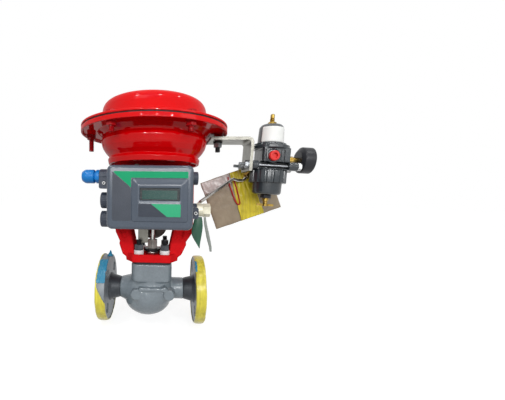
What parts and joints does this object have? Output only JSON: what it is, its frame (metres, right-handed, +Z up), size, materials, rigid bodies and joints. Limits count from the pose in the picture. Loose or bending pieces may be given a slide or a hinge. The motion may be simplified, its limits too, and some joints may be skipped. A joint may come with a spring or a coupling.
{
  "type": "pneumatic control valve with positioner",
  "caption": "Flanged globe control valve with a spring and diaphragm actuator on a yoke, a front-mounted digital positioner, a bracketed filter regulator with gauge, and supply tube.",
  "frame": {"origin": "crossing of the flow passage's axis and the stem's axis, inside the valve body", "axes": "+Z up along the stem towards the actuator, +X along the flow towards the outlet flange, -Y towards the side that the positioner's display faces"},
  "size_m": [0.4338, 0.27, 0.4119],
  "materials": {
    "air_set_paint": "satin",
    "bare_flange": "matte",
    "black_plastic": "satin",
    "black_steel": "satin",
    "blue_plastic": "glossy",
    "brass": "satin",
    "brown_steel": "matte",
    "circuit_green": "satin",
    "clear_plastic": "glossy",
    "graphite": "matte",
    "green_film": "matte",
    "grey_paint": "satin",
    "kraft_paper": "matte",
    "positioner_paint": "satin",
    "red_paint": "glossy",
    "red_plastic": "satin",
    "rubber": "matte",
    "spring_steel": "satin",
    "stainless": "satin",
    "white_film": "satin",
    "zinc": "satin"
  },
  "bodies": {
    "valve_assembly": {"adjusting_locknut": "brass", "body_stud_front_left": "zinc", "body_stud_front_right": "zinc", "body_stud_rear_left": "zinc", "body_stud_rear_right": "zinc", "bonnet": "black_steel", "bowl_ring": "air_set_paint", "cable_gland": "blue_plastic", "casing_bolt_front_left": "red_paint", "casing_bolt_front_right": "red_paint", "casing_bolt_left": "red_paint", "casing_bolt_rear_left": "red_paint", "casing_bolt_rear_right": "red_paint", "casing_bolt_right": "red_paint", "diaphragm": "rubber", "display_window": "clear_plastic", "document_bag": "kraft_paper", "drain_collar": "black_plastic", "inlet_flange": "bare_flange", "lower_casing": "red_paint", "lower_conduit_plug": "black_plastic", "module_base": "circuit_green", "outlet_elbow": "brass", "outlet_flange": "bare_flange", "packing_follower": "black_steel", "packing_nut": "stainless", "packing_set": "graphite", "positioner_bracket": "stainless", "positioner_cover": "positioner_paint", "positioner_housing": "positioner_paint", "pressure_gauge": "black_plastic", "range_spring": "spring_steel", "red_plug": "red_plastic", "regulator_body": "air_set_paint", "regulator_bonnet": "air_set_paint", "regulator_bowl": "air_set_paint", "regulator_bracket": "stainless", "seat_ring": "stainless", "spring_pack": "spring_steel", "stem_bushing": "brass", "supply_fitting": "stainless", "supply_tube": "stainless", "through_bolt_front": "stainless", "through_bolt_rear": "stainless", "upper_casing": "red_paint", "upper_conduit_plug": "black_plastic", "valve_body": "grey_paint", "vent_plug": "black_plastic", "yoke": "red_paint"},
    "travel_group": {"valve_plug": "stainless", "actuator_stem": "stainless", "stem_connector": "black_steel", "feedback_plate": "stainless", "anti_rotation_plate": "brown_steel", "diaphragm_plate": "zinc"},
    "pressure_screw": {"adjusting_screw": "brass"},
    "drain": {"drain_cock": "brass"},
    "pointer": {"gauge_pointer": "black_plastic"},
    "green_tag_body": {"green_tag": "green_film"},
    "white_strap_body": {"white_strap": "white_film"}
  },
  "joints": [
    {"name": "stem_travel", "type": "slide", "parent": "valve_assembly", "child": "travel_group", "axis": [0, 0, 1], "range_m": [0, 0.02], "stiffness_N_per_m": 20000, "springref_m": -0.013, "deforming": ["spring_pack", "diaphragm"]},
    {"name": "pressure_screw_turn", "type": "hinge", "parent": "valve_assembly", "child": "pressure_screw", "pos_m": [0.21933, 0, 0.29444], "axis": [0.0523, 0, 0.9986], "range_deg": [-720, 720]},
    {"name": "drain_turn", "type": "hinge", "parent": "valve_assembly", "child": "drain", "pos_m": [0.21281, 0, 0.17011], "axis": [0.0523, 0, 0.9986], "range_deg": [0, 360]},
    {"name": "gauge_reading", "type": "hinge", "parent": "valve_assembly", "child": "pointer", "pos_m": [0.29161, 0.01, 0.2501], "axis": [-0.9986, 0, 0.0523], "range_deg": [0, 270], "stiffness_Nm_per_rad": 0.0003},
    {"name": "green_tag_swing", "type": "hinge", "parent": "valve_assembly", "child": "green_tag_body", "pos_m": [0.08, -0.055, 0.1441], "axis": [1, 0, 0], "range_deg": [-20, 20]},
    {"name": "white_strap_swing", "type": "hinge", "parent": "valve_assembly", "child": "white_strap_body", "pos_m": [0.0915, -0.055, 0.1441], "axis": [1, 0, 0], "range_deg": [-20, 20]}
  ]
}
